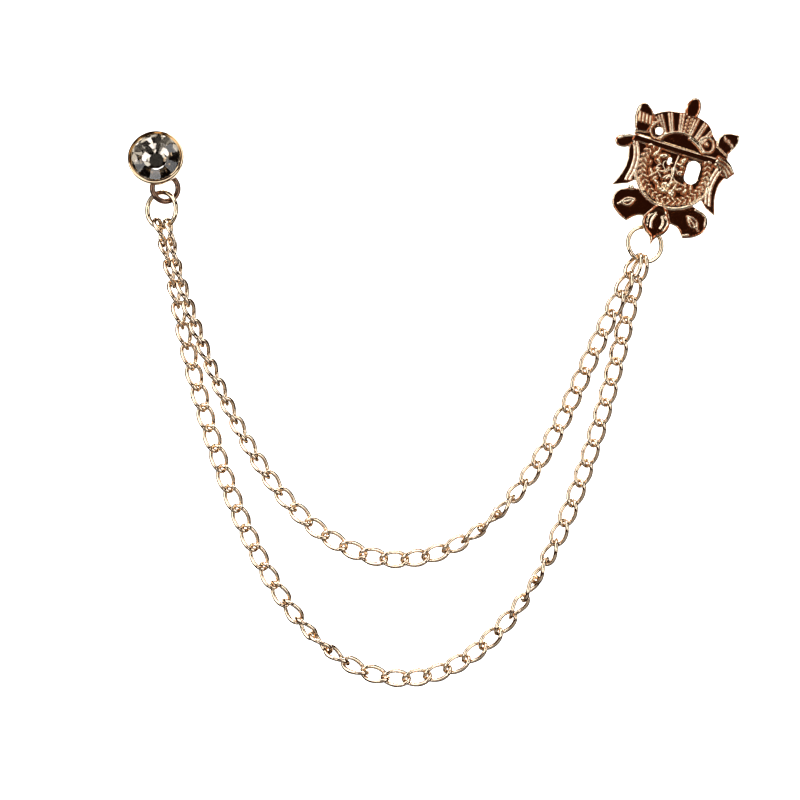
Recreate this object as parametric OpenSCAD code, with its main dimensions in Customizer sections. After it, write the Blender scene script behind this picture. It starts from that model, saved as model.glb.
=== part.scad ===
// Lapel chain: a cast crest brooch and a round crystal stud, joined by two
// hanging curb-chain strands. Millimetres, +Z up, the garment is the plane y = 0
// and the wearer is on its +Y side. The origin is where the crest pins on.

/* [Chain] */
// Diameter of the wire the links are bent from
link_wire = 0.78; // [0.7:0.01:0.78]
// Length of a link between the middles of its end bends
link_l = 5.35; // [5.34:0.01:5.36]
// Width of a link between the middles of its side wires
link_w = 2.9; // [2.8:0.05:3]
// Twist of a link from one end to the other, degrees
link_twist = 86; // [84:1:88]

/* [Brooch crest] */
// Radius of the round medallion
medallion_r = 8; // [7.9:0.05:8.2]
// Thickness of the cast plate
plate_t = 1.2; // [1:0.1:1.6]
// Height of the relief above the plate
relief_t = 0.6; // [0.4:0.05:0.9]
// Distance from the garment to the back of the plate
plate_back = 2; // [2:0.1:2.5]
// How far the crest leans to the wearer's left, degrees
crest_lean = 17; // [10:1:20]

/* [Stud] */
// Diameter of the crystal
stone_d = 10; // [9.6:0.1:10]
// Outer diameter of the rolled rim
rim_d = 11.1; // [11:0.05:11.4]
// Depth of the cup from its base to its rim
cup_depth = 4.2; // [4:0.1:4.6]
// How far the stud looks upward, degrees
stud_tilt = 15; // [10:1:15]

/* [Posts] */
// Diameter of the two pin posts
post_d = 1.1; // [0.9:0.05:1.2]
// Length of a post from its foot to its point
post_l = 9; // [7:0.5:11]

/* [Hidden] */
$fn = 48;
// Gap between pieces that fit into each other
clear = 0.1;
// How deep fused shapes reach into each other
sink = 0.2;
// How far a cut runs past the metal
past = 1;

// Link mesh: bends along the oval, and sides of the wire
link_bends = 12;
wire_sides = 6;
// How far the first side of the wire is turned, and the step used to find a line's direction
wire_turn = 30;
look_aside = 6;
// How blunt the ends of a link's oval are, 1 is a true oval
link_blunt = 0.85;

// Jump rings: middle radius, wire, centre, turn about the upright, lean of the top to the garment
brooch_ring_r = 3.55;
brooch_ring_wire = 0.95;
brooch_ring_at = [-5.9, -2.2, -14.8];
brooch_ring_turn = 16;
brooch_ring_lean = -10;
stud_ring_r = 3.5;
stud_ring_wire = 1;
stud_ring_at = [-102, -2.5, -8];
stud_ring_turn = -30;
stud_ring_lean = 0;

// Staple eye behind the crest: middle radius, wire, its place round the jump ring in degrees
eye_r = 0.97;
eye_wire = 0.7;
eye_turn = 72;
// Shallow groove in the plate's back that lets the jump ring pass: first angle and sweep
groove_from = 77;
groove_sweep = 34;
// Room across the groove beside the ring's wire, both sides together
groove_room = 0.26;

// Boss on the crest's back, the sockets the posts' feet sit in, and the posts' ends
boss_r = 3.6;
brooch_socket = 1.2;
stud_socket = 0.6;
foot_side = post_d - 0.4;
post_point = 1.6;
tip_d = 0.2;

// Stud: middle of the cup's base, and the soldered loop below it
stud_at = [-102.9, -1.4, 1.2];
loop_at = [-101.3, -2.5, -3.7];
loop_turn = 18;
loop_r = 2.6;
loop_wire = 1.2;
rim_wire = 0.8;
base_r = 4.1;
// Sloping edge round the cup's base: width, height; then where the wall becomes straight
base_slope = [0.7, 0.5];
wall_z = 3;
// How far the rim stands out past the wall on both sides, and how far its mouth opens
rim_lip = 0.05;
mouth_flare = 0.3;
// Flat floor of the hollow: radius, height
floor_r = 1.6;
floor_z = 0.9;
// Stone: height of its widest edge, thickness of that edge and of the thin flats
girdle_z = 3.1;
girdle_t = 0.2;
flat_t = 0.02;
// Its table and the ring of facets below, each as [height above the edge, share of the diameter]
TABLE = [1.6, 0.29];
CROWN = [1.1, 0.41];
// Its pointed back: depth below the edge, radius of the point
culet_depth = 1.95;
culet_r = 0.25;

// Petals that end in a point: direction from upright, root, tip, width
PETALS = [[0, 7.4, 15, 3], [-44, 7.4, 15, 3.6], [45, 7.4, 14.7, 3.6]];
// Round lower petals: middle x, middle y, radius
LOBES = [[-7.2, -9.2, 2.9], [6.4, -9.1, 2.9]];
leaf_at = [-0.5, -11.3];
leaf_r = 2.85;
fan_r = 11.5;
fan_from = -36;
fan_to = 30;
bar_y = 3.9;
arch_at = [0, 3.2];
arch_r = 4;
arch_t = 0.8;
// Height above its middle at which the arch stands on the bar
arch_foot = 1;

// Raised bar: first x, length, width
bar_from = -9.4;
bar_l = 18.9;
bar_w = 1.2;
// How far the raised petals, leaf and lobes stay inside their outlines
petal_inset = 0.55;
leaf_inset = 0.5;
lobe_inset = 0.7;
// Relief that differs from relief_t: low leaves and lobes, sprays, fan ribs, arch, petal ribs
low_relief = relief_t * 0.6;
spray_relief = relief_t * 0.7;
rib_relief = relief_t * 0.5;
arch_relief = relief_t + 0.2;
petal_rib_relief = relief_t + 0.25;
// Laurel: distance from the middle, pairs on a side, degrees between them, lean, leaf size
laurel_r = medallion_r - 1.8;
laurel_pairs = 7;
laurel_step = 14;
laurel_lean = 32;
laurel_out = 0.35;
LAUREL_LEAF = [1.3, 0.6];
// Fan ribs: pairs, degrees from the fan's edge and between them, half spacing, root, size
fan_rib_pairs = 6;
fan_rib_from = 8;
fan_rib_step = 10;
fan_rib_aside = 0.32;
fan_rib_root = 8;
FAN_RIB = [0.28, 3.1];
// Petal ribs: spacing, root, size
petal_rib_step = 0.75;
petal_rib_root = 9.2;
PETAL_RIB = [0.34, 2.2];
// Sprays of leaves: middle, turn of the first and last, step, distance, leaf size
spray_at = [-1, -2];
spray_from = 100;
spray_to = 340;
spray_step = 40;
spray_out = 0.5;
SPRAY_LEAF = [2.4, 0.9];

// Outlines of the crest, as corners [x, y] from the medallion's middle
SHOULDERS = [[-9.8, 4.9], [-9, 8], [-6.6, 9.6], [0, 9], [5.8, 8.4], [8.8, 7.6], [9.6, 4.6]];
BAR = [[-9.8, 5], [-12.9, 3.1], [-13.3, 2.3], [-12.8, 1.5], [-11.4, 1.3], [-10.3, 1.9],
       [-7, 1], [7, 1], [8.6, 1.6], [10.3, 1], [11.7, 2.5], [9.6, 4.7]];
LEFT_WING = [[-6, 3], [-10.8, 1.6], [-11.5, -6.7], [-8, -5.3], [-5, -4]];
RIGHT_WING = [[6, 3], [10, 1.2], [10.4, -6.7], [8, -5.5], [5, -4]];
left_hollow_at = [-19.6, -1.6];
left_hollow_r = 9.4;
right_hollow_at = [19, -1.8];
right_hollow_r = 9.9;
// Round wires laid on the face: middle, radius, wire, first angle, sweep
LAID_ARCS = [[[0, 0], medallion_r - 0.4, 0.7, 171, 198],
             [left_hollow_at, left_hollow_r + 1.2, 0.5, -18, 34],
             [right_hollow_at, right_hollow_r + 1.1, 0.5, 163, 33]];
LEFT_LOBE = [[-8.3, -6.7], [-4, -5], [0.2, -7], [0.2, -10.8], [-3, -10.8], [-4.6, -11.4],
             [-6.3, -12.6], [-7.3, -11.5]];
RIGHT_LOBE = [[7.8, -6.8], [4, -5], [-0.6, -7], [-0.6, -10.8], [2.4, -10.8], [4, -11.4],
              [5.4, -12.7], [6.6, -11.4]];
LEAF_TIP = [[-2.7, -12.7], [-1.1, -14.1], [-0.3, -15.9], [0.3, -14.2], [1.7, -12.8], [-0.5, -10]];

// Pierced gaps: middle x, middle y, width, height, all with round ends
GAPS = [[-5.2, 6.4, 1.5, 1.5], [3.5, 0.4, 2.7, 4.7], [-1.5, 1.3, 0.7, 1.5]];

// Strand rows: low point x and z, catenary size, first and last arc length,
// links, pitch, first end shift [x, z], its reach, last end shift [x, z], its reach
OUTER = [-53.9, -101.3, 20.2, -108.4, 101.8, 50, 4.23, [-0.95, 0.85], 12, [0.9, 0.05], 9];
INNER = [-54.9, -77.6, 22.6, -85.8, 79.6, 40, 4.2, [0.4, 1], 12, [3.05, 0.05], 28];

// How far each joint hangs in front of the garment: joint number, y
OUTER_DEPTH = [[0, -1.9], [2, -1.8], [5, -1.95], [47, -1.95], [49, -2.55], [50, -3]];
INNER_DEPTH = [[0, -3.2], [1, -4.3], [4, -4.6], [8, -2.6], [10, -1.95], [32, -1.95],
               [36, -3.6], [38, -4], [39, -3.75], [40, -3.15]];

// How far each link is rolled about its own length: link number, degrees
OUTER_ROLL = [[0, -90], [3, -64], [6, -32], [10, -5], [16, 0], [19, 30], [20, 56], [23, 140],
              [25, 180], [30, 180], [31, 195], [32, 222], [35, 312], [36, 338], [38, 360],
              [41, 360], [50, 328]];
INNER_ROLL = [[0, -92], [4, -66], [9, -60], [13, -40], [17, -10], [19, 0], [22, 8], [23, 26],
              [24, 54], [27, 140], [28, 165], [30, 180], [32, 180], [40, 140]];

function asinh(t) = ln(t + sqrt(t * t + 1));
function unit(v) = v / norm(v);

// Point of a strand's path at arc length s and depth y
function path_point(row, s, y) =
    let (a = row[2],
         first = max(0, 1 - (s - row[3]) / row[8]),
         last = max(0, 1 - (row[4] - s) / row[10]),
         shift = row[7] * first * first + row[9] * last * last)
    [row[0] + a * asinh(s / a) + shift[0], y, row[1] + sqrt(a * a + s * s) - a + shift[1]];

// Arc length at which the next joint lies one pitch from the point p
function next_s(row, s, y, p, step, tries = 5) =
    tries == 0 ? s + step
    : next_s(row, s, y, p, step * row[6] / norm(path_point(row, s + step, y) - p), tries - 1);

// Joints of a strand, each as [arc length, point]
function joints(row, depth, i = 0, last = undef) =
    let (y = lookup(i, depth),
         s = i == 0 ? row[3] : next_s(row, last[0], y, last[1], row[6]),
         here = [s, path_point(row, s, y)])
    i == row[5] ? [here] : concat([here], joints(row, depth, i + 1, here));

// Middle line of one link at angle t round its oval, along and across the link
function link_line(t) =
    let (u = link_l / 2 * cos(t),
         v = link_w / 2 * sign(sin(t)) * pow(abs(sin(t)), link_blunt),
         twist = -link_twist * u / link_l)
    [u, v * cos(twist), v * sin(twist)];

// One bent link: from joint a to joint b, rolled about that line
module curb_link(a, b, roll) {
    along = unit(b - a);
    front = unit([0, -1, 0] - along * (-along[1]));
    side = cross(front, along);
    across = side * cos(roll) + front * sin(roll);
    through = front * cos(roll) - side * sin(roll);
    to_world = function(p) (a + b) / 2 + along * p[0] + across * p[1] + through * p[2];
    points = [for (i = [0 : link_bends - 1])
        let (t = 360 * i / link_bends,
             here = link_line(t),
             run = unit(link_line(t + look_aside) - link_line(t - look_aside)),
             out = unit([here[0], here[1], here[2]] - run * (here * run)),
             up = cross(run, out))
        for (k = [0 : wire_sides - 1])
            let (w = 360 * k / wire_sides + wire_turn)
            to_world(here + link_wire / 2 * (out * cos(w) + up * sin(w)))];
    faces = [for (i = [0 : link_bends - 1], k = [0 : wire_sides - 1], half = [0, 1])
        let (i2 = (i + 1) % link_bends,
             k2 = (k + 1) % wire_sides,
             near = i * wire_sides + k,
             far = i2 * wire_sides + k2)
        half == 0 ? [near, i2 * wire_sides + k, far] : [near, far, i * wire_sides + k2]];
    polyhedron(points = points, faces = faces, convexity = 4);
}

module strand(row, depth, roll) {
    joint = joints(row, depth);
    for (i = [0 : row[5] - 1])
        curb_link(joint[i][1], joint[i + 1][1], lookup(i, roll));
}

module ring(mid_r, wire, angle = 360) {
    rotate_extrude(angle = angle) translate([mid_r, 0]) circle(d = wire);
}

module chain_outer() {
    color("gold") strand(OUTER, OUTER_DEPTH, OUTER_ROLL);
}

module chain_inner() {
    color("goldenrod") strand(INNER, INNER_DEPTH, INNER_ROLL);
}

// Puts things that lie in a jump ring's plane in place
module in_ring(at, turn, lean) {
    translate(at) rotate([0, 0, turn]) rotate([90 + lean, 0, 0]) children();
}

module brooch_jump_ring() {
    color("khaki") in_ring(brooch_ring_at, brooch_ring_turn, brooch_ring_lean)
    ring(brooch_ring_r, brooch_ring_wire);
}

module stud_jump_ring() {
    color("lightyellow") in_ring(stud_ring_at, stud_ring_turn, stud_ring_lean)
    ring(stud_ring_r, stud_ring_wire);
}

// Turns a flat layout that faces +Z into one that faces the viewer
module facing() {
    rotate([90, 0, 0]) children();
}

// Puts crest parts in place: x and y of the crest, z from the garment
module crest_frame() {
    facing() rotate([0, 0, -crest_lean]) children();
}

// Pointed oval along +Y from one tip to the other
module oval(length, width) {
    round_r = (length * length + width * width) / (4 * width);
    intersection() {
        translate([round_r - width / 2, length / 2]) circle(round_r, $fn = 96);
        translate([width / 2 - round_r, length / 2]) circle(round_r, $fn = 96);
    }
}

module round_slot(width, height) {
    reach = (height - width) / 2;
    for (side = [-1, 1]) translate([0, side * reach]) circle(d = width);
    if (reach > 0) square([width, 2 * reach], center = true);
}

module wedge(reach, from, to) {
    polygon([[0, 0], [reach * sin(from), reach * cos(from)],
             [reach * sin((from + to) / 2), reach * cos((from + to) / 2)] * 1.2,
             [reach * sin(to), reach * cos(to)]]);
}

module petal_outline(row, inset = 0) {
    rotate(-row[0]) translate([0, row[1] + inset])
    oval(row[2] - row[1] - 2 * inset, row[3] - 2 * inset);
}

module leaf_outline() {
    translate(leaf_at) circle(leaf_r);
    polygon(LEAF_TIP);
}

module crest_outline() {
    circle(medallion_r, $fn = 96);
    intersection() {
        circle(fan_r, $fn = 96);
        wedge(fan_r * 1.3, fan_from, fan_to);
    }
    for (row = PETALS) petal_outline(row);
    for (row = LOBES) translate([row[0], row[1]]) circle(row[2]);
    polygon(LEFT_LOBE);
    polygon(RIGHT_LOBE);
    polygon(SHOULDERS);
    polygon(BAR);
    difference() {
        polygon(LEFT_WING);
        translate(left_hollow_at) circle(left_hollow_r, $fn = 96);
    }
    difference() {
        polygon(RIGHT_WING);
        translate(right_hollow_at) circle(right_hollow_r, $fn = 96);
    }
    leaf_outline();
}

// A flat layer of relief, from inside the plate to a height above its face
module raised(height) {
    translate([0, 0, plate_back + plate_t - sink]) linear_extrude(height + sink) children();
}

// A bar of round wire laid on the plate's face along a part of a circle
module laid_arc(row) {
    translate([row[0][0], row[0][1], plate_back + plate_t]) rotate([0, 0, row[3]])
    rotate_extrude(angle = row[4], $fn = 96) translate([row[1], 0]) circle(d = row[2], $fn = 24);
}

// Pairs of leaves that run up both sides of the medallion from its foot
module laurel() {
    for (side = [-1, 1], i = [0 : laurel_pairs - 1], lean = [-1, 1])
        rotate(side * laurel_step * (i + 0.5)) translate([0, -laurel_r])
        rotate(side * 90 + lean * laurel_lean) translate([0, laurel_out])
        oval(LAUREL_LEAF[0], LAUREL_LEAF[1]);
}

// Pairs of thin ribs between the gores of the fan
module fan_ribs() {
    for (i = [0 : fan_rib_pairs - 1], side = [-1, 1])
        rotate(-(fan_from + fan_rib_from + fan_rib_step * i))
        translate([side * fan_rib_aside - FAN_RIB[0] / 2, fan_rib_root]) square(FAN_RIB);
}

module arch() {
    below = 5 * arch_r;
    translate(arch_at) difference() {
        circle(arch_r);
        circle(arch_r - arch_t);
        translate([-below / 2, arch_foot - below]) square(below);
    }
}

// Short ribs across the upper petals
module petal_ribs() {
    for (row = [PETALS[1], PETALS[2]], i = [-1 : 1])
        rotate(-row[0]) translate([petal_rib_step * i - PETAL_RIB[0] / 2, petal_rib_root])
        square(PETAL_RIB);
}

// Leaf sprays and scrolls that fill the middle of the medallion
module middle_leaves() {
    for (turn = [spray_from : spray_step : spray_to])
        translate(spray_at) rotate(turn) translate([0, spray_out])
        oval(SPRAY_LEAF[0], SPRAY_LEAF[1]);
}

module crest_relief() {
    raised(relief_t) for (row = PETALS) petal_outline(row, petal_inset);
    raised(relief_t) translate([bar_from, bar_y - bar_w / 2]) square([bar_l, bar_w]);
    raised(arch_relief) arch();
    raised(relief_t) translate(leaf_at) circle(leaf_r - leaf_inset);
    raised(low_relief) for (row = LOBES) translate([row[0], row[1]]) circle(row[2] - lobe_inset);
    raised(low_relief) laurel();
    raised(rib_relief) fan_ribs();
    raised(petal_rib_relief) petal_ribs();
    raised(spray_relief) middle_leaves();
    for (row = LAID_ARCS) laid_arc(row);
}

module crest_gaps() {
    for (row = GAPS)
        translate([row[0], row[1], -past])
        linear_extrude(plate_back + plate_t + petal_rib_relief + 2 * past)
        round_slot(row[2], row[3]);
}

module brooch_crest() {
    color("saddlebrown") difference() {
        union() {
            crest_frame() translate([0, 0, plate_back]) linear_extrude(plate_t) crest_outline();
            crest_frame() crest_relief();
            crest_frame() cylinder(r = boss_r, h = plate_back + sink);
            in_ring(brooch_ring_at, brooch_ring_turn, brooch_ring_lean)
            rotate([0, 0, eye_turn]) translate([brooch_ring_r, 0, 0]) rotate([90, 0, 0])
            ring(eye_r, eye_wire);
        }
        crest_frame() crest_gaps();
        in_ring(brooch_ring_at, brooch_ring_turn, brooch_ring_lean) rotate([0, 0, groove_from])
        ring(brooch_ring_r, brooch_ring_wire + groove_room, groove_sweep);
        facing() socket(brooch_socket);
    }
}

// Square blind hole up along +Z for a post's foot
module socket(depth) {
    translate([0, 0, -past]) linear_extrude(depth + past)
    square(foot_side + 2 * clear, center = true);
}

// A post along +Z from just above the origin, with its square foot below in a socket
module pin_post(depth) {
    translate([0, 0, clear - depth]) linear_extrude(depth + sink) square(foot_side, center = true);
    translate([0, 0, clear]) cylinder(d = post_d, h = post_l - post_point - clear);
    translate([0, 0, post_l - post_point]) cylinder(d1 = post_d, d2 = tip_d, h = post_point);
}

module brooch_post() {
    color("silver") rotate([-90, 0, 0]) pin_post(brooch_socket);
}

// Puts stud parts in place: +Z of the stud is its front
module stud_frame() {
    translate(stud_at) rotate([90 - stud_tilt, 0, 0]) children();
}

module cup_body() {
    wall_r = rim_d / 2 - rim_lip;
    rim_z = cup_depth - rim_wire / 2;
    rotate_extrude($fn = 96)
    polygon([[0, 0], [base_r, 0], [base_r + base_slope[0], base_slope[1]], [wall_r, wall_z],
             [wall_r, rim_z], [0, rim_z]]);
    translate([0, 0, rim_z]) ring((rim_d - rim_wire) / 2, rim_wire, $fn = 96);
}

module cup_hollow() {
    seat_r = stone_d / 2 + clear;
    mouth_r = (rim_d - rim_wire) / 2;
    rim_z = cup_depth - rim_wire / 2;
    rotate_extrude($fn = 96)
    polygon([[0, floor_z], [floor_r, floor_z], [seat_r, girdle_z - clear], [seat_r, rim_z],
             [mouth_r - rim_wire / 2 + rim_lip, rim_z], [mouth_r - mouth_flare, cup_depth + past],
             [0, cup_depth + past]]);
}

module stud_bezel() {
    color("darkgoldenrod") difference() {
        union() {
            stud_frame() cup_body();
            in_ring(loop_at, loop_turn, 0) ring(loop_r, loop_wire);
        }
        stud_frame() cup_hollow();
        stud_frame() socket(stud_socket);
    }
}

// Round brilliant: table, crown, girdle and pointed back
module stud_stone() {
    color("lightcyan") stud_frame() hull() {
        translate([0, 0, girdle_z + TABLE[0]]) cylinder(r = stone_d * TABLE[1], h = flat_t, $fn = 8);
        translate([0, 0, girdle_z + CROWN[0]]) rotate(22.5)
        cylinder(r = stone_d * CROWN[1], h = flat_t, $fn = 8);
        translate([0, 0, girdle_z]) rotate(11.25) cylinder(d = stone_d, h = girdle_t, $fn = 16);
        translate([0, 0, girdle_z - culet_depth]) cylinder(r = culet_r, h = flat_t, $fn = 8);
    }
}

module stud_post() {
    color("silver") stud_frame() rotate([180, 0, 0]) pin_post(stud_socket);
}

brooch_crest();
brooch_post();
brooch_jump_ring();
chain_outer();
chain_inner();
stud_bezel();
stud_stone();
stud_post();
stud_jump_ring();
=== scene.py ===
# %% [markdown]
# # A lapel chain
# A lapel chain is worn on a jacket. A small cast brooch pins on at one end, a crystal stud
# pins on at the other, and two strands of curb chain hang between them. Every piece
# already exists as a plain solid, and this lesson makes the parts that the eye dwells on:
# smoothly bent links, a cast relief with soft edges, a ground crystal and metal that looks
# plated and handled.

# %% Load the solids
import math
import random

import bpy
import numpy as np
from mathutils import Matrix, Vector
from mathutils.bvhtree import BVHTree


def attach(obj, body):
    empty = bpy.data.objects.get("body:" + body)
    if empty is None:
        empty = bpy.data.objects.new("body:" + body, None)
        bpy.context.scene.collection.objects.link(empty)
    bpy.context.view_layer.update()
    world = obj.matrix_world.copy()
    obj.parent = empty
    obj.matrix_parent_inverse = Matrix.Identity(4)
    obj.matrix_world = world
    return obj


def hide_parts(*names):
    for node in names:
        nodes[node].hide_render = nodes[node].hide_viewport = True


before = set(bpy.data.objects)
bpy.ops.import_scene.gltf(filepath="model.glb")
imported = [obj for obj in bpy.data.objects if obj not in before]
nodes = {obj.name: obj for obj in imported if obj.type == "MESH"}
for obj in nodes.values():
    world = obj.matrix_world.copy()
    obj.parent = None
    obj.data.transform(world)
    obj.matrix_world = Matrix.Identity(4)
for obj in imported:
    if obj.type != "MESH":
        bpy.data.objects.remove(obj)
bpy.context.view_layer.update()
print("solids:", sorted(nodes))

# %% [markdown]
# ## The bench
# Jewellery is small, so each piece is modelled in millimetres near the middle of the
# scene and then set in its place in metres. The helpers below do what a hand would do:
# select one thing, apply its place, melt several shapes into one mesh.

# %% Bench helpers
MM = 0.001


def alone(piece):
    """Selects one piece and nothing else."""
    bpy.ops.object.select_all(action="DESELECT")
    piece.select_set(True)
    bpy.context.view_layer.objects.active = piece


def named(name, piece=None):
    """Names a piece, or the one just made, and its mesh."""
    piece = piece or bpy.context.object
    piece.name = name
    piece.data.name = name
    return piece


def join(pieces, name):
    """One object from several; each keeps its own shells."""
    alone(pieces[0])
    for piece in pieces:
        piece.select_set(True)
    bpy.ops.object.join()
    return named(name)


def fix_place(piece):
    """Puts a piece's place, turn and size into its mesh and leaves its origin at zero."""
    alone(piece)
    bpy.ops.object.transform_apply(location=True, rotation=True, scale=True)
    return piece


def set_in_place(piece, place=Matrix.Identity(4)):
    """Moves a piece off the bench to its place, both in mm, and turns it all to metres."""
    piece.matrix_world = Matrix.Scale(MM, 4) @ place @ piece.matrix_world
    return fix_place(piece)


def finish_with(piece, kind, **settings):
    """Adds a modifier and applies it at once."""
    alone(piece)
    modifier = piece.modifiers.new(kind.title(), kind)
    for key, value in settings.items():
        setattr(modifier, key, value)
    bpy.ops.object.modifier_apply(modifier=modifier.name)


def cut_away(piece, cutter):
    """Takes a cutter's room out of a piece and throws the cutter away."""
    fix_place(cutter)
    finish_with(piece, "BOOLEAN", operation="DIFFERENCE", solver="EXACT", object=cutter)
    bpy.data.objects.remove(cutter)


def soften(piece, angle):
    """Shades smooth over every edge that is blunter than the angle."""
    alone(piece)
    bpy.ops.object.shade_smooth_by_angle(angle=math.radians(angle))


def faces_of(piece):
    return len(piece.data.polygons)


# %% [markdown]
# ## Finishes
# All the metal but the posts is brass with a thin flash of pale rose gold. Plating is a
# mirror that the wire or the casting below it makes slightly uneven. So each finish is a
# metal with low roughness, two tones that drift into each other and a very fine bump.

# %% Colour and node helpers
def srgb(code):
    """Hex colour as the linear values that shader sockets take."""
    parts = [int(code[i:i + 2], 16) / 255 for i in (1, 3, 5)]
    return [p / 12.92 if p <= 0.04045 else ((p + 0.055) / 1.055) ** 2.4 for p in parts] + [1]


def add(material, kind, sockets=None, links=None, **settings):
    """Adds a node: sockets are its values by name, links are the outputs that feed it."""
    node = material.node_tree.nodes.new(kind)
    for key, value in settings.items():
        setattr(node, key, value)
    for key, value in (sockets or {}).items():
        node.inputs[key].default_value = value
    for key, output in (links or {}).items():
        material.node_tree.links.new(output, node.inputs[key])
    return node


def new_material(name):
    """A material and its main shader."""
    material = bpy.data.materials.new(name)
    material.use_nodes = True
    shader = material.node_tree.nodes["Principled BSDF"]
    return material, shader


def wear(piece, material):
    """Gives a piece its finish."""
    piece.data.materials.clear()
    piece.data.materials.append(material)


# %% Plated metal
# Drawing and tumbling marks on wire this small are about 0.15 mm apart.
MARKS_MM = 0.15
MARK_DEPTH_MM = 0.02


def plated(name, bright, shade, roughness, patch_mm, bump):
    """Plated brass: bright and shade are the two tones that drift over patch_mm."""
    material, shader = new_material(name)
    where = add(material, "ShaderNodeTexCoord")
    drift = add(material, "ShaderNodeTexNoise", {"Scale": 1 / (patch_mm * MM), "Detail": 3.0},
                {"Vector": where.outputs["Object"]})
    tone = add(material, "ShaderNodeMix", {"A": srgb(shade), "B": srgb(bright)},
               {"Factor": drift.outputs["Fac"]}, data_type="RGBA")
    rough = add(material, "ShaderNodeMapRange",
                {"To Min": roughness * 0.7, "To Max": roughness * 1.4},
                {"Value": drift.outputs["Fac"]})
    marks = add(material, "ShaderNodeTexNoise", {"Scale": 1 / (MARKS_MM * MM), "Detail": 2.0},
                {"Vector": where.outputs["Object"]})
    relief = add(material, "ShaderNodeBump", {"Strength": bump, "Distance": MARK_DEPTH_MM * MM},
                 {"Height": marks.outputs["Fac"]})
    links = material.node_tree.links
    links.new(tone.outputs["Result"], shader.inputs["Base Color"])
    links.new(rough.outputs[0], shader.inputs["Roughness"])
    links.new(relief.outputs[0], shader.inputs["Normal"])
    shader.inputs["Metallic"].default_value = 1.0
    return material


# Drawn wire is smooth, so its lines are bright and sharp, with a slow drift of rose.
rose_gilt = plated("rose_gold_flash_on_drawn_brass", "#FAE6CE", "#EFD3B2", 0.08, 3.0, 0.12)
# The jump rings are of thicker wire and less rosy, which sets them off from the strands.
pale_gilt = plated("pale_gold_flash_on_ring_wire", "#F8E6CC", "#EAD0AA", 0.08, 3.0, 0.12)
# Turned and buffed brass: broad calm reflections round the stone.
cup_gilt = plated("gold_flash_on_turned_brass", "#E8D6B8", "#C4A988", 0.09, 2.0, 0.12)
# The soldered ring is painted darker and browner than the rest: painted shade, standing in for the
# dark room it reflects.
ring_painted_shade_brown = plated("soldered_ring_painted_shade", "#AA8A74", "#684A3C", 0.09, 1.5, 0.15)
# Brushed steel under nickel: a soft grey gloss without sharp lines.
post_steel = plated("brushed_nickel_plated_steel", "#D8D6D0", "#B9B6AE", 0.28, 1.2, 0.4)
print("metals ready")

# %% [markdown]
# ## The links
# A curb link is a round wire bent to an oval and then twisted by about a right angle, so
# that the chain lies flat. It could be a torus, but a torus that is stretched gets thin
# sides. Here the oval is a line first, it is twisted as a line, and only then does it
# get its round section, so the wire keeps one thickness all the way.

# %% One link
LINK_LENGTH = 5.35
LINK_WIDTH = 2.9
LINK_WIRE = 0.87
LINK_TWIST = 86
# The two end bends are a little blunter than a true oval's.
BLUNTER = 1.16

bpy.ops.object.select_all(action="DESELECT")
bpy.ops.curve.primitive_bezier_circle_add(radius=1)
oval = bpy.context.object
oval.data.resolution_u = 9
for point in oval.data.splines[0].bezier_points:
    if abs(point.co.x) < 0.5:
        point.handle_left_type = point.handle_right_type = "FREE"
        point.handle_left.x *= BLUNTER
        point.handle_right.x *= BLUNTER
oval.scale = (LINK_LENGTH / 2, LINK_WIDTH / 2, 1)
bpy.ops.object.transform_apply(scale=True)
bpy.ops.object.convert(target="MESH")
finish_with(oval, "SIMPLE_DEFORM", deform_method="TWIST", deform_axis="X",
            angle=math.radians(-LINK_TWIST))
alone(oval)
bpy.ops.object.convert(target="CURVE")
oval.data.bevel_depth = LINK_WIRE / 2
oval.data.bevel_resolution = 3
bpy.ops.object.convert(target="MESH")
link = named("one_link", oval)
soften(link, 60)
print("link faces:", faces_of(link), "length:", round(link.dimensions.x, 2), "mm")

# %% [markdown]
# ## Where each link hangs
# The solid strands already hold every link at its place, roll and lean. A copy of a strand
# is cut into its loose links, and each link's own points tell where it is: their mean is
# its middle, the direction in which they spread most is its length, and the next is its
# width. The smooth link goes to the same place, with a mesh of its own.

# %% Hang the strands
def places_of(node):
    """Middle (mm) and turn of every loose link in a copy of a solid strand."""
    copy = node.copy()
    copy.data = node.data.copy()
    bpy.context.collection.objects.link(copy)
    copy.parent = None
    alone(copy)
    bpy.ops.object.mode_set(mode="EDIT")
    bpy.ops.mesh.select_all(action="SELECT")
    bpy.ops.mesh.remove_doubles(threshold=0.001 * MM)
    bpy.ops.mesh.separate(type="LOOSE")
    bpy.ops.object.mode_set(mode="OBJECT")
    places = []
    for part in list(bpy.context.selected_objects):
        points = np.array([v.co for v in part.data.vertices])
        middle = points.mean(axis=0)
        turns = np.linalg.eigh(np.cov((points - middle).T))[1]
        along, across = Vector(turns[:, 2]), Vector(turns[:, 1])
        through = along.cross(across)
        turn = Matrix((along, across, through)).transposed().to_4x4()
        places.append(Matrix.Translation(middle / MM) @ turn)
        bpy.data.objects.remove(part)
    return places


def hang_strand(name, node_name):
    """Copies the smooth link to every place of a solid strand and joins the copies."""
    links = []
    for place in places_of(nodes[node_name]):
        each = link.copy()
        each.data = link.data.copy()
        bpy.context.collection.objects.link(each)
        links.append(set_in_place(each, place))
    strand = join(links, name)
    wear(strand, rose_gilt)
    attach(strand, "root")
    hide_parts(node_name)
    print(name, len(links), "links,", faces_of(strand), "faces")


hang_strand("long_strand", "chain_outer")
hang_strand("short_strand", "chain_inner")
bpy.data.objects.remove(link)

# %% [markdown]
# ## Shapes for the casting
# The crest is cast in one piece from a carved model. A carver lays plates, domes and rolls
# of wax on each other until they read as petals, ribs and leaves. Three of the helpers do
# the same: a plate is a flat outline with rounded edges, a roll is a round thread laid
# along a line, and a dome is part of a ball.

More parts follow.
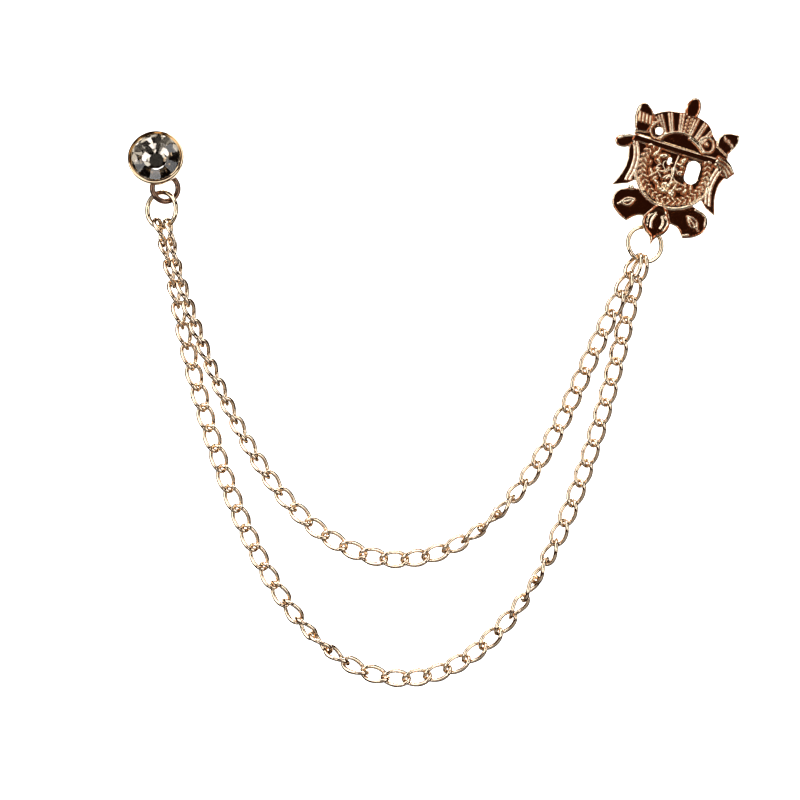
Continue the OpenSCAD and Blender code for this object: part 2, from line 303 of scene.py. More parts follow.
# %% Wax shapes
def bent_line(points, closed, sharp=()):
    """A Bezier line through the points; those in sharp make corners."""
    bpy.ops.object.select_all(action="DESELECT")
    bpy.ops.curve.primitive_bezier_curve_add()
    line = bpy.context.object
    spline = line.data.splines[0]
    spline.bezier_points.add(len(points) - 2)
    spline.use_cyclic_u = closed
    for i, (point, place) in enumerate(zip(spline.bezier_points, points)):
        point.co = Vector((place[0], place[1], place[2] if len(place) > 2 else 0))
        point.handle_left_type = point.handle_right_type = "VECTOR" if i in sharp else "AUTO"
    return line


def plate(points, low, high, edge=0.2, sharp=()):
    """A flat outline filled from low to high, its edges rounded by edge."""
    line = bent_line(points, True, sharp)
    line.data.dimensions = "2D"
    line.data.fill_mode = "BOTH"
    line.data.resolution_u = 8
    line.data.bevel_depth = edge
    line.data.bevel_resolution = 2
    line.data.offset = -edge
    line.data.extrude = (high - low) / 2 - edge
    line.location.z = (high + low) / 2
    bpy.ops.object.convert(target="MESH")
    return bpy.context.object


def roll(points, thick, height, closed=False):
    """A round thread laid along a line, its middle at a height."""
    line = bent_line([(p[0], p[1], height) for p in points], closed)
    line.data.dimensions = "3D"
    line.data.resolution_u = 6
    line.data.bevel_depth = thick / 2
    line.data.bevel_resolution = 2
    line.data.use_fill_caps = True
    bpy.ops.object.convert(target="MESH")
    return bpy.context.object


def dome(x, y, long, wide, tall, height, turn=0):
    """A long ball sunk in the ground, turned clockwise from the upright."""
    bpy.ops.object.select_all(action="DESELECT")
    bpy.ops.mesh.primitive_uv_sphere_add(segments=20, ring_count=12, radius=0.5)
    ball = bpy.context.object
    ball.scale = (wide, long, tall)
    ball.rotation_euler.z = math.radians(-turn)
    ball.location = (x, y, height)
    return ball


def around(radius, turn):
    """A place on a circle round the medallion, turned clockwise from the top."""
    return (radius * math.sin(math.radians(turn)), radius * math.cos(math.radians(turn)))


def arc(radius, first, last, steps, middle=(0, 0)):
    """Places along a part of a circle, clockwise from first to last."""
    turns = [first + (last - first) * i / steps for i in range(steps + 1)]
    return [(middle[0] + around(radius, t)[0], middle[1] + around(radius, t)[1]) for t in turns]


# %% [markdown]
# ## The crest's ground
# Everything stands on one thin plate. Its outline gives the crest its shape: shoulders and
# a fan above, ribbon ends at the sides, two hollow crescents, two round lobes and a drop
# shaped leaf below. Heights count from the cloth, so the plate runs from 2 to about 3.2.

# %% Ground plates
BACK = 2.0
FACE = 3.2

SHOULDERS = [(-9.9, 4.6), (-9.4, 7.4), (-6.9, 9.6), (-5.1, 10.6), (-2.6, 11.15), (0, 11.4),
             (2.6, 11), (4.2, 10.2), (5.4, 8.6), (6.2, 7.9), (8.6, 7.4), (9.6, 4.4)]
LEFT_PETAL = [(-9.6, 5), (-10.5, 6.8), (-10.75, 8.6), (-10.4, 10.4), (-9.5, 11), (-8.2, 10.4),
              (-7.1, 9.1), (-6.9, 7), (-7.4, 5.4)]
RIGHT_PETAL = [(6.5, 6.8), (6.6, 8.7), (7.7, 9.9), (10.4, 10.2), (10.5, 8.4), (9.7, 6.6), (9, 5.4)]
BUD = [(-1.15, 10.6), (-1.55, 12.2), (-1.35, 13.6), (-0.7, 14.6), (0.1, 14.85), (0.85, 14.5),
       (1.4, 13.4), (1.5, 12.2), (1.15, 10.6)]
LEFT_CRESCENT = [(-10.1, 3.3), (-10, 1.4), (-9.6, -1), (-10, -3.8), (-11.2, -6.6), (-8.1, -5.3),
                 (-6, -3), (-6, 2), (-7, 3.4)]
RIGHT_CRESCENT = [(10.2, 3.2), (10, 1.4), (9.3, -0.6), (9.3, -3.1), (10.3, -6.6), (8, -5.6),
                  (6, -3), (7, 3)]
LEFT_LOBE = [(-7.6, -6.1), (-9.8, -7.4), (-10, -9.9), (-8.4, -11.6), (-6.3, -12.6), (-4.4, -10.9),
             (-2.4, -10.4), (-1, -8), (-4, -5.4)]
RIGHT_LOBE = [(6.4, -6.2), (8.8, -7.2), (9.3, -9.6), (7.9, -11.6), (5.4, -12.7), (3.8, -11),
              (1.8, -10.4), (0.2, -8), (4, -5.6)]
LEAF = [(-0.5, -7.4), (-2.6, -9.4), (-3.3, -11.4), (-2.4, -13.2), (-1, -14.3), (-0.3, -15.9),
        (0.3, -14.3), (1.5, -13.2), (2.3, -11.4), (1.6, -9.4)]
LEFT_TIP = [(-9, 4.6), (-11.4, 3.9), (-13, 2.9), (-12.7, 1.5), (-11.3, 1.2), (-9.9, 1.9), (-9, 3)]
RIGHT_TIP = [(7.4, 5.1), (9.7, 4.6), (11.65, 2.6), (10.4, 1), (8.8, 1.7), (7, 2.9)]
BAND = [(-9.8, 3.2), (-9.6, 4.4), (0, 4.25), (8, 4.4), (8.2, 3.1), (0, 3.15)]

ground = [
    plate(arc(8.05, 0, 337.5, 15), BACK, FACE - 0.3),
    plate(SHOULDERS, BACK, FACE - 0.15, sharp=(0, 8, 9, 11)),
    plate(LEFT_PETAL, BACK, FACE + 0.15, 0.35, sharp=(0, 8)),
    plate(RIGHT_PETAL, BACK, FACE + 0.15, 0.35, sharp=(0, 3, 6)),
    plate(BUD, BACK, FACE + 0.4, 0.6, sharp=(0, 8)),
    plate(LEFT_CRESCENT, BACK, FACE - 0.05, sharp=(0, 4, 5, 7, 8)),
    plate(RIGHT_CRESCENT, BACK, FACE - 0.05, sharp=(0, 4, 5, 7)),
    plate(LEFT_LOBE, BACK, FACE, 0.35, sharp=(4, 8)),
    plate(RIGHT_LOBE, BACK, FACE, 0.35, sharp=(4, 8)),
    plate(LEAF, BACK, FACE + 0.3, 0.6, sharp=(5,)),
    plate(LEFT_TIP, BACK, FACE + 0.1, 0.4, sharp=(0, 6)),
    plate(RIGHT_TIP, BACK, FACE + 0.05, 0.2, sharp=(0, 2, 3, 5)),
    plate(BAND, BACK, FACE + 0.25, 0.14, sharp=(0, 1, 3, 4)),
]
print("ground plates:", len(ground))

# %% [markdown]
# ## Relief of the upper half
# A fan of narrow gores stands over the medallion, parted by pairs of fine ribs. Below it a
# bright arch spans a plain dark field, and one plain band with bright edges crosses the
# whole crest.

# %% Fan, arch and band
# Each pair of ribs: its turn from the top and how far out it reaches
FAN_RIBS = ((-32, 11.2), (-21.5, 11.2), (-9, 11.1), (7, 11), (17.5, 10.9), (28, 10.4))
FAN_FOOT = 7.3
FAN_RIB_WIRE = 0.21
FAN_RIB_ASIDE = 1.5

relief = []
for turn, reach in FAN_RIBS:
    for aside in (-FAN_RIB_ASIDE, FAN_RIB_ASIDE):
        relief.append(roll([around(FAN_FOOT, turn + aside), around(reach, turn + aside)],
                           FAN_RIB_WIRE, FACE - 0.05))
# The middle gore is filled with small seeds.
for i in range(5):
    for aside in (-0.4, 0.4):
        relief.append(dome(aside, 7.9 + 0.75 * i + aside / 2, 0.5, 0.42, 0.8, FACE - 0.05))

relief += [
    roll([(-4.9, 5), (-2.9, 6.7), (-0.1, 7.35), (2.3, 6.7), (4.8, 4.8)], 0.36, FACE + 0.02),
    roll([(0.9, 6.8), (2.4, 6.15), (4.4, 4.7)], 0.5, FACE + 0.08),
    roll([(3.0, 6.5), (4.9, 7.9), (5.7, 5.3)], 0.36, FACE + 0.02, closed=True),
    dome(4.6, 6.5, 0.7, 0.7, 0.9, FACE),
    roll([(-6.5, 7.6), (-7, 6.3), (-6.1, 5.1), (-4.6, 5), (-3.9, 6.3)], 0.3, FACE - 0.02),
    roll([(-6.6, 8.8), (-6, 8.1), (-6.9, 7.6)], 0.28, FACE - 0.03),
]

# Ribs on the two upper petals, and a bright outer edge on each.
for i in range(4):
    x = -9.95 + 0.74 * i
    relief.append(roll([(x, 8.95 - 0.1 * i), (x + 0.3, 7.1)], 0.4, FACE + 0.3))
for x, y in ((7.85, 8.6), (8.7, 8.2), (9.5, 7.6)):
    relief.append(dome(x, y, 0.95, 0.34, 0.6, FACE + 0.2, -25))
relief.append(roll([(-10.05, 6), (-10.4, 8.3), (-10.2, 10.4)], 0.26, FACE + 0.1))
relief.append(roll([(10.2, 10), (10.3, 8.4), (9.5, 6.6)], 0.26, FACE + 0.1))
relief.append(roll([(-1.5, 11.2), (-1.45, 12.6), (-1, 13.8)], 0.24, FACE + 0.1))
print("upper relief shapes:", len(relief))

# %% [markdown]
# ## Sides and lower half
# Ribbon ends leave the band at both sides. The crescents have a double line along their
# inner edge. Each lobe carries a plain raised leaf, and the drop shaped leaf has curved
# veins on both sides of a plain middle. Fine lines like these catch the light and stay
# bright.

# %% Ribbon ends, crescents, lobes and leaf
for k in range(3):
    drop = 0.85 * k
    relief.append(roll([(7.5 - 0.1 * k, 4.75 - drop * 0.9), (9.6 - 0.15 * k, 4.05 - drop * 0.9),
                        (11.2 - 0.45 * k, 2.65 - drop * 0.75)], 0.42, FACE + 0.2))
relief += [
    roll([(-9.4, 4.2), (-11.4, 3.5), (-12.6, 2.7)], 0.26, FACE + 0.1),
    roll([(-9.6, 3.1), (-8.7, 1.3), (-8.3, -1.2), (-8.8, -4.8)], 0.28, FACE - 0.02),
    roll([(-8.9, 3.1), (-7.95, 1.2), (-7.55, -1.3), (-8.05, -4.6)], 0.28, FACE - 0.02),
    roll([(8.8, 2.6), (8.15, 0.4), (7.95, -1.8), (8.6, -5)], 0.28, FACE - 0.02),
    roll([(8.05, 2.7), (7.45, 0.4), (7.2, -1.8), (7.85, -4.8)], 0.28, FACE - 0.02),
    dome(-7.3, -5.9, 1.0, 1.2, 1.0, FACE - 0.1),
    roll([(6.2, -6.5), (8.4, -7.3), (9, -9.2)], 0.26, FACE + 0.05),
    # A plain raised leaf on each lobe: two thin edges and a middle rib.
    roll([(-8.5, -9.4), (-7.4, -8.2), (-5.9, -8)], 0.24, FACE + 0.08),
    roll([(-8.5, -9.4), (-6.9, -9.5), (-5.9, -8)], 0.24, FACE + 0.08),
    roll([(-8.9, -9.8), (-7.3, -8.8), (-6, -8)], 0.2, FACE + 0.05),
    roll([(7.6, -9.9), (6.3, -9.9), (5, -8.2)], 0.24, FACE + 0.08),
    roll([(7.6, -9.9), (6.9, -8.5), (5, -8.2)], 0.24, FACE + 0.08),
    roll([(8, -10.4), (6.5, -9.2), (5.2, -8.3)], 0.2, FACE + 0.05),
    roll([(5.2, -12.2), (6.4, -11.7)], 0.3, FACE + 0.02),
    # Curved veins on both sides of the drop shaped leaf
    roll([(-1.2, -9.2), (-2.3, -10.3), (-2.2, -12.2)], 0.34, FACE + 0.2),
    roll([(-1, -9.6), (-1.5, -10.8), (-1.3, -12.5)], 0.3, FACE + 0.28),
    roll([(0.4, -9.3), (1.5, -10.5), (1.2, -12.4)], 0.34, FACE + 0.2),
    roll([(0.2, -9.8), (0.75, -10.9), (0.5, -12.2)], 0.26, FACE + 0.28),
    roll([(-1.6, -8.9), (-0.5, -8.5), (0.8, -8.9)], 0.28, FACE + 0.15),
    roll([(-0.6, -14.2), (-0.3, -15.4)], 0.26, FACE + 0.1),
]
print("relief shapes so far:", len(relief))

# %% [markdown]
# ## The medallion
# A laurel of small paired leaves runs round the lower rim inside a double line. Leaf
# sprays and scrolls stand on both sides of one upright stem. The room between them is
# strewn with small leaves of all sizes, from one fixed seed, because the eye reads a close
# field of unlike leaves as glitter. Nothing is laid where the gaps will be pierced.

# %% Rim and laurel
relief += [
    roll(arc(7.85, 100, 255, 20), 0.46, FACE - 0.04),
    roll(arc(7.4, 112, 250, 20), 0.24, FACE - 0.22),
]

# Long pierced gaps: middle x and y, width and height
SLOTS = ((3.5, 0.4, 2.7, 4.7), (-1.5, 1.3, 0.7, 1.5))


def pierced(x, y, room):
    """Whether a place lies in one of the long gaps, or nearer than room to it."""
    return any(abs(x - middle_x) < wide / 2 + room and abs(y - middle_y) < tall / 2 + room
               for middle_x, middle_y, wide, tall in SLOTS)


LAUREL_PAIRS = 13
LAUREL_STEP = 9.5
LAUREL_FOOT = 4
LAUREL_STEM = 6.45
# Distance from the middle and lean of the outer and the inner leaf of a pair
LAUREL_LEAVES = ((6.9, 40), (6.0, -40))
for side in (-1, 1):
    for i in range(LAUREL_PAIRS):
        turn = 180 + side * (LAUREL_FOOT + LAUREL_STEP * i)
        for radius, lean in LAUREL_LEAVES:
            x, y = around(radius, turn)
            if not pierced(x, y, 0.4):
                relief.append(dome(x, y, 1.0, 0.5, 1.05, FACE - 0.1, turn + 90 + side * lean))
        x, y = around(LAUREL_STEM, turn + side * LAUREL_FOOT)
        if not pierced(x, y, 0.3):
            relief.append(dome(x, y, 0.32, 0.32, 0.8, FACE - 0.1))
print("with the laurel:", len(relief))

# %% Strewn leaves
strewn = random.Random(11)
# Rings of leaves round the middle: radius and number
LEAF_RINGS = ((1.3, 5), (2.5, 9), (3.7, 13), (4.9, 18))
FIELD_TOP = 2.9
for radius, count in LEAF_RINGS:
    for i in range(count):
        x, y = around(radius + strewn.uniform(-0.25, 0.25), (i + strewn.random()) * 360 / count)
        long, wide = strewn.uniform(1.1, 2.1), strewn.uniform(0.5, 0.9)
        tall, turn = strewn.uniform(1.0, 1.6), strewn.uniform(0, 180)
        if y < FIELD_TOP and not pierced(x, y, 0.45):
            relief.append(dome(x, y, long, wide, tall, FACE - 0.12, turn))
print("with the strewn leaves:", len(relief))

# %% Stem, sprays and scrolls
relief += [
    roll([(-0.1, 2.8), (-0.25, 0.8), (-0.1, -1.4), (-0.3, -3.4)], 0.36, FACE + 0.25),
    dome(-0.3, -3.5, 1.2, 0.75, 1.0, FACE + 0.1),
    dome(-2.9, 1.9, 2.3, 1.1, 1.7, FACE, 70),
    dome(-3.4, -2.8, 1.6, 0.7, 1.2, FACE, 35),
    dome(-2.8, -3.5, 1.4, 0.7, 1.2, FACE, 120),
    dome(1.9, -3.6, 1.5, 0.7, 1.2, FACE, 60),
    roll([(-0.4, 0.2), (-1.3, -0.6), (-2.4, -0.1), (-2.3, 1), (-1.7, 0.5)], 0.32, FACE + 0.2),
    roll([(0.1, 0.2), (0.7, -0.7), (1.6, -0.9)], 0.32, FACE + 0.2),
    roll([(-0.5, -1.8), (-1.6, -2.4), (-2.9, -1.7), (-3.6, -0.5), (-2.9, 0.2)], 0.32, FACE + 0.2),
    roll([(0.2, -1.8), (1.2, -2.4), (2.4, -2.6), (3.2, -2.5)], 0.32, FACE + 0.2),
    dome(-1.3, -4.4, 1.5, 0.8, 1.1, FACE, 60),
    dome(0.8, -4.5, 1.5, 0.8, 1.1, FACE, -50),
    dome(1.1, 1.9, 1.2, 0.7, 1.1, FACE, 20),
]
print("relief shapes:", len(relief))

# %% [markdown]
# ## The back of the crest
# The back shows as soon as the brooch is off the cloth. A round boss carries the post, and
# a small cast staple behind the bottom leaf holds the jump ring.

# %% Boss and staple eye
CREST_LEAN = 17
CREST = (Matrix.Rotation(math.radians(90), 4, "X")
         @ Matrix.Rotation(math.radians(-CREST_LEAN), 4, "Z"))
# The crest's jump ring: its middle, turn and lean, then radius and wire, in mm
BROOCH_RING = ((-5.9, -2.2, -14.8), 16, -10)
RING_R = 3.55
RING_WIRE = 0.95
RING_ROOM = 0.28
EYE_TURN = 72
EYE_R = 0.97
EYE_WIRE = 0.7
BOSS_R = 3.6
OFF_CLOTH = 0.02


def ring_frame(at, turn, lean, along=0):
    """Frame of a jump ring in mm, or of a place part of the way round it."""
    return (Matrix.Translation(at) @ Matrix.Rotation(math.radians(turn), 4, "Z")
            @ Matrix.Rotation(math.radians(90 + lean), 4, "X")
            @ Matrix.Rotation(math.radians(along), 4, "Z"))


def torus(mid_radius, wire, frame_mm, segments, sides):
    """A ring of round wire in a frame."""
    bpy.ops.object.select_all(action="DESELECT")
    bpy.ops.mesh.primitive_torus_add(major_segments=segments, minor_segments=sides,
                                     major_radius=mid_radius, minor_radius=wire / 2)
    bpy.context.object.matrix_world = frame_mm
    return bpy.context.object


def pillar(radius, low, high, x=0, y=0):
    """An upright round pillar from low to high."""
    bpy.ops.object.select_all(action="DESELECT")
    bpy.ops.mesh.primitive_cylinder_add(vertices=64, radius=radius, depth=high - low,
                                        location=(x, y, (low + high) / 2))
    return bpy.context.object


eye_place = (ring_frame(*BROOCH_RING, EYE_TURN) @ Matrix.Translation((RING_R, 0, 0))
             @ Matrix.Rotation(math.radians(90), 4, "X"))
boss = pillar(BOSS_R, OFF_CLOTH, BACK + 0.3)
eye = torus(EYE_R, EYE_WIRE, CREST.inverted() @ eye_place, 40, 16)
print("boss and eye height:", round(boss.dimensions.z, 2), round(eye.dimensions.z, 2))

# %% [markdown]
# ## Cast in one
# All wax shapes become one skin. A voxel remesh wraps them at 0.095 mm, which also fills
# the sharp corners between them just as molten metal would. The pierced gaps, the post's
# socket and the room that the jump ring needs are then cut through the finished skin.

# %% Fuse
SKIN_VOXEL = 0.095
for shape in ground + relief + [boss, eye]:
    fix_place(shape)
raised = join(relief, "raised_lines")
line_work = BVHTree.FromObject(raised, bpy.context.evaluated_depsgraph_get())
crest = join([raised, boss, eye] + ground, "cast_crest")
finish_with(crest, "REMESH", mode="VOXEL", voxel_size=SKIN_VOXEL)
print("cast skin:", faces_of(crest), "faces")

# %% Pierce and smooth
# The cutters reach well past the casting on both sides.
BELOW_IT = -1
ABOVE_IT = 8
# Round hole in the upper left shoulder: radius, x and y
HOLE = (0.75, -5.2, 6.4)
SOCKET_R = 0.55
SOCKET_DEPTH = 1.2
MOST_FACES = 95000
MOST_TRIANGLES = 180000

cutters = [
    pillar(HOLE[0], BELOW_IT, ABOVE_IT, *HOLE[1:]),
    pillar(SOCKET_R, -0.5, SOCKET_DEPTH),
    torus(RING_R, RING_WIRE + RING_ROOM, CREST.inverted() @ ring_frame(*BROOCH_RING), 96, 20),
]
for x, y, wide, tall in SLOTS:
    reach = (tall - wide) / 2
    outline = arc(wide / 2, -90, 90, 12, (x, y + reach))
    outline += arc(wide / 2, 90, 270, 12, (x, y - reach))
    cutters.append(plate(outline, BELOW_IT, ABOVE_IT, 0.01, sharp=range(len(outline))))
for cutter in cutters:
    cut_away(crest, cutter)
finish_with(crest, "SMOOTH", factor=0.5, iterations=1)
if faces_of(crest) > MOST_FACES:
    finish_with(crest, "DECIMATE", ratio=min(1, MOST_TRIANGLES / (2 * faces_of(crest))))
soften(crest, 60)
print("pierced casting:", faces_of(crest), "faces")

# %% [markdown]
# ## What the wheel polished, and the painted highlights
# After plating, a soft wheel goes over the front. It brightens the raised line work and
# the rounded edges, and it hardly touches the flats between them. A material could guess
# that from height, but petals and band are high too. So each point of the skin is asked
# how near it lies to the line work, and the answer is kept with the mesh as an attribute.
# The same attribute paints highlights too: pale gold grows as a line turns to the front,
# and the steep edges are pale gold in full.

# %% Mark the polished places and the painted highlights
# How near the skin must lie to a line to belong to it, and how far off it is free of lines
LINE_REACH = 0.07
FREE_OF_LINES = 0.45
# The skin counts as an edge where the upward part of its normal is less than this.
FREE_EDGE = 0.95
EDGE_BY_A_LINE = 0.6
# On a line the pale gold, polish and painted highlight, starts at this upward part and is full
# this much above it.
LINE_FOOT = 0.05
LINE_SPAN = 0.25
# Full pale gold on line tops and edges: polish and painted highlight.
POLISH_AND_HIGHLIGHT_FULL = 1.3
PLAIN_BACK = 0.9

polish_and_highlight = crest.data.attributes.new("polish_and_highlight", "FLOAT", "POINT")
for vertex, mark in zip(crest.data.vertices, polish_and_highlight.data):
    faces_up = vertex.normal.z
    distance = line_work.find_nearest(vertex.co, FREE_OF_LINES)[3]
    if distance is not None and distance < LINE_REACH:
        # Pale gold grows as the point faces the front: the top of a line is brightest, which is
        # polish and painted highlight, and its foot stays brown.
        mark.value = min(POLISH_AND_HIGHLIGHT_FULL, max(0, (faces_up - LINE_FOOT) / LINE_SPAN))
    elif vertex.co.z < BACK + 0.1:
        mark.value = PLAIN_BACK
    # Steep edges are pale gold in full: polish and painted highlight.
    elif faces_up < (FREE_EDGE if distance is None else EDGE_BY_A_LINE):
        mark.value = POLISH_AND_HIGHLIGHT_FULL
set_in_place(crest, CREST)
print("crest:", faces_of(crest), "faces,",
      sum(mark.value > 0 for mark in polish_and_highlight.data), "polished points")

# %% [markdown]
# ## The casting's finish
# The unpolished flats are bronze brown, because the flash of gold is thin there and the
# lacquer over it is tinted. The polished lines are pale gold, and pale gold also paints
# highlights on the parts of the lines that face the front and on the edges. A fine uneven
# skin, as sand leaves it, breaks the reflections up.

# %% Cast gilt
BRONZE_BROWN = "#A5603C"
PALE_GOLD = "#FDEACB"
STAIN_MM = 0.6
SAND_MM = 0.45

cast_gilt, shader = new_material("antiqued_gold_casting_with_painted_highlights")
where = add(cast_gilt, "ShaderNodeTexCoord")
bright = add(cast_gilt, "ShaderNodeAttribute", attribute_name="polish_and_highlight")
grime = add(cast_gilt, "ShaderNodeTexNoise", {"Scale": 1 / (STAIN_MM * MM), "Detail": 4.0},
            {"Vector": where.outputs["Object"]})
uneven = add(cast_gilt, "ShaderNodeMapRange",
             {"From Min": 0.35, "From Max": 0.65, "To Min": 0.45, "To Max": 1.0},
             {"Value": grime.outputs["Fac"]})
mask = add(cast_gilt, "ShaderNodeMath", operation="MULTIPLY",
           links={0: bright.outputs["Fac"], 1: uneven.outputs[0]})
# Pale gold where the mark is high: polish on the lines, painted highlight on the parts facing the
# front and on the edges.
tone = add(cast_gilt, "ShaderNodeMix", {"A": srgb(BRONZE_BROWN), "B": srgb(PALE_GOLD)},
           {"Factor": mask.outputs[0]}, data_type="RGBA")
rough = add(cast_gilt, "ShaderNodeMapRange", {"To Min": 0.14, "To Max": 0.07},
            {"Value": mask.outputs[0]})
skin = add(cast_gilt, "ShaderNodeTexNoise", {"Scale": 1 / (SAND_MM * MM), "Detail": 3.0},
           {"Vector": where.outputs["Object"]})
bump = add(cast_gilt, "ShaderNodeBump", {"Strength": 0.7, "Distance": 0.06 * MM},
           {"Height": skin.outputs["Fac"]})
for output, socket in ((tone.outputs["Result"], "Base Color"), (rough.outputs[0], "Roughness"),
                       (bump.outputs[0], "Normal")):
    cast_gilt.node_tree.links.new(output, shader.inputs[socket])
shader.inputs["Metallic"].default_value = 1.0
wear(crest, cast_gilt)
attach(crest, "root")
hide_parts("brooch_crest")
print("casting finish:", len(cast_gilt.node_tree.nodes), "nodes")

# %% [markdown]
# ## The stud's cup
# The cup is turned on a lathe, so it is made the same way: half of its section is drawn
# once and spun round the axis. The rim is rolled over the stone's edge, with a fine groove
# inside it, and a heavy ring is soldered under the cup.

# %% Turned cup
STUD_TILT = 15
STUD = (Matrix.Translation((-102.9, -1.4, 1.2))
        @ Matrix.Rotation(math.radians(90 - STUD_TILT), 4, "X"))
# The half section, as radius and height over the cup's foot
CUP_SECTION = [(0.55, 0), (3.9, 0), (4.12, 0.08), (4.85, 0.6), (5.4, 2.5), (5.52, 3.1),
               (5.56, 3.75), (5.52, 4.02), (5.4, 4.2), (5.26, 4.16), (5.16, 3.95), (5.08, 3.75),
               (5.0, 3.78), (4.94, 3.98), (4.84, 4.05), (4.76, 3.95), (4.8, 3.78), (5.06, 3.6),
               (5.09, 3.3), (5.09, 3.0), (1.7, 0.95), (0.55, 0.75)]


def turned(name, section, steps=96):
    """Spins a closed half section, given as radius and height, round the Z axis."""
    bpy.ops.object.select_all(action="DESELECT")
    bpy.ops.mesh.primitive_circle_add(vertices=len(section), radius=1)
    piece = named(name)
    for vertex, (radius, height_up) in zip(piece.data.vertices, section):
        vertex.co = (radius, 0, height_up)
    bpy.ops.object.mode_set(mode="EDIT")
    bpy.ops.mesh.select_all(action="SELECT")
    bpy.ops.mesh.spin(steps=steps, angle=2 * math.pi, center=(0, 0, 0), axis=(0, 0, 1))
    bpy.ops.mesh.select_all(action="SELECT")
    bpy.ops.mesh.remove_doubles(threshold=0.0001)
    bpy.ops.mesh.normals_make_consistent(inside=False)
    bpy.ops.object.mode_set(mode="OBJECT")
    return piece


cup = turned("turned_cup", CUP_SECTION)
cup.matrix_world = STUD
cup.data.materials.append(cup_gilt)
print("cup section:", len(CUP_SECTION), "points, cup:", faces_of(cup), "faces")

# %% Soldered ring
# The ring's middle, turn and lean, then radius and wire, in mm
LOOP = ((-101.3, -2.5, -3.7), 18, 0)
LOOP_R = 2.6
LOOP_WIRE = 1.15
CUP_HOLLOW_R = 5.07
CUP_HOLLOW_FLOOR = 3.02
CUP_HOLLOW_TOP = 8

loop = torus(LOOP_R, LOOP_WIRE, ring_frame(*LOOP), 72, 20)
# The ring's darker, browner tone is painted shade.
loop.data.materials.append(ring_painted_shade_brown)
fix_place(cup)
fix_place(loop)
# The part of the soldered ring that would show inside the cup is taken away.
hollow = pillar(CUP_HOLLOW_R, CUP_HOLLOW_FLOOR, CUP_HOLLOW_TOP)
hollow.matrix_world = STUD @ hollow.matrix_world
cut_away(loop, hollow)
bezel = join([cup, loop], "stud_cup")
soften(bezel, 35)
set_in_place(bezel)
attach(bezel, "root")
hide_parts("stud_bezel")
print("cup with its ring:", faces_of(bezel), "faces")

# %% [markdown]
# ## The crystal
# A crystal is ground, facet by facet, from a round blank. The same is done here: each
# facet is one cut of the Bisect tool, set by its turn, its slope and its distance from the
# middle. Twelve broad facets and twelve small ones lead from the table to the edge, and
# twelve long ones meet behind at a small foot, which gives the star of dark and light.
# Glass shows its facets only when they are flat and meet in sharp edges, so nothing is
# smoothed.

# %% The blank and one cut
GIRDLE = 3.1
STONE_R = 4.98
BLANK_DEPTH = 3.7
bpy.ops.object.select_all(action="DESELECT")
bpy.ops.mesh.primitive_cylinder_add(vertices=64, radius=STONE_R, depth=BLANK_DEPTH,
                                    location=(0, 0, GIRDLE - 0.1))
stone = named("ground_crystal")
bpy.ops.object.transform_apply(location=True)


def grind(turn, slope, radius, height_up, up):
    """One flat facet through the point at radius and height; up is 1, or -1 for the back."""
    a, s = math.radians(turn), math.radians(slope)
    normal = Vector((math.cos(a) * math.sin(s), math.sin(a) * math.sin(s), math.cos(s) * up))
    alone(stone)
    bpy.ops.object.mode_set(mode="EDIT")
    bpy.ops.mesh.select_all(action="SELECT")
    bpy.ops.mesh.bisect(plane_co=(math.cos(a) * radius, math.sin(a) * radius, height_up),
                        plane_no=normal, use_fill=True, clear_outer=True, threshold=0.00001)
    bpy.ops.object.mode_set(mode="OBJECT")


print("blank height:", round(stone.dimensions.z, 2), "mm")

# %% Grind the facets
ROUND = 12
STEP = 360 / ROUND
# Each row: first turn, slope, height of its lower edge over the girdle, 1 up or -1 back
FACET_ROWS = ((0, 27, 0.3, 1), (STEP / 2, 42, 0.16, 1), (0, 28, 0, -1))
TABLE_UP = 1.5
FOOT_DOWN = 1.92
for first_turn, slope, over, up in FACET_ROWS:
    for i in range(ROUND):
        grind(first_turn + STEP * i, slope, STONE_R, GIRDLE + over, up)
grind(0, 0, 0, GIRDLE + TABLE_UP, 1)
grind(0, 0, 0, GIRDLE - FOOT_DOWN, -1)
print("crystal faces with the girdle:", faces_of(stone), "height:", round(stone.dimensions.z, 2))

# %% [markdown]
# ## Glass with a foiled back
# A rhinestone is clear lead glass, and its back is painted with mirror foil. Light
# enters through the crown, meets the foil and comes back through other facets. The back
# facets therefore get a second material, a grey mirror.

# %% Glass and foil
FACES_BACK = -0.3
HAZE_MM = 2.5
BLOTCH_MM = 1.5

# Lead glass is all but colourless: two near whites drift into each other.
crystal_glass, shader = new_material("clear_lead_crystal_glass")
where = add(crystal_glass, "ShaderNodeTexCoord")
haze = add(crystal_glass, "ShaderNodeTexNoise", {"Scale": 1 / (HAZE_MM * MM), "Detail": 2.0},
           {"Vector": where.outputs["Object"]})
tint = add(crystal_glass, "ShaderNodeMix", {"A": srgb("#FBF9F6"), "B": srgb("#FFFFFF")},
           {"Factor": haze.outputs["Fac"]}, data_type="RGBA")
crystal_glass.node_tree.links.new(tint.outputs["Result"], shader.inputs["Base Color"])
shader.inputs["Transmission Weight"].default_value = 1.0
shader.inputs["Roughness"].default_value = 0.0
shader.inputs["IOR"].default_value = 1.6

# Silvered foil under lacquer: a mirror, slightly blotched, that gives the grey flash.
foil, shader = new_material("mirror_foil_on_crystal_back")
where = add(foil, "ShaderNodeTexCoord")
blotch = add(foil, "ShaderNodeTexNoise", {"Scale": 1 / (BLOTCH_MM * MM), "Detail": 2.0},
             {"Vector": where.outputs["Object"]})
tint = add(foil, "ShaderNodeMix", {"A": srgb("#DCD6D0"), "B": srgb("#F0EBE6")},
           {"Factor": blotch.outputs["Fac"]}, data_type="RGBA")
foil.node_tree.links.new(tint.outputs["Result"], shader.inputs["Base Color"])
shader.inputs["Metallic"].default_value = 1.0
shader.inputs["Roughness"].default_value = 0.05

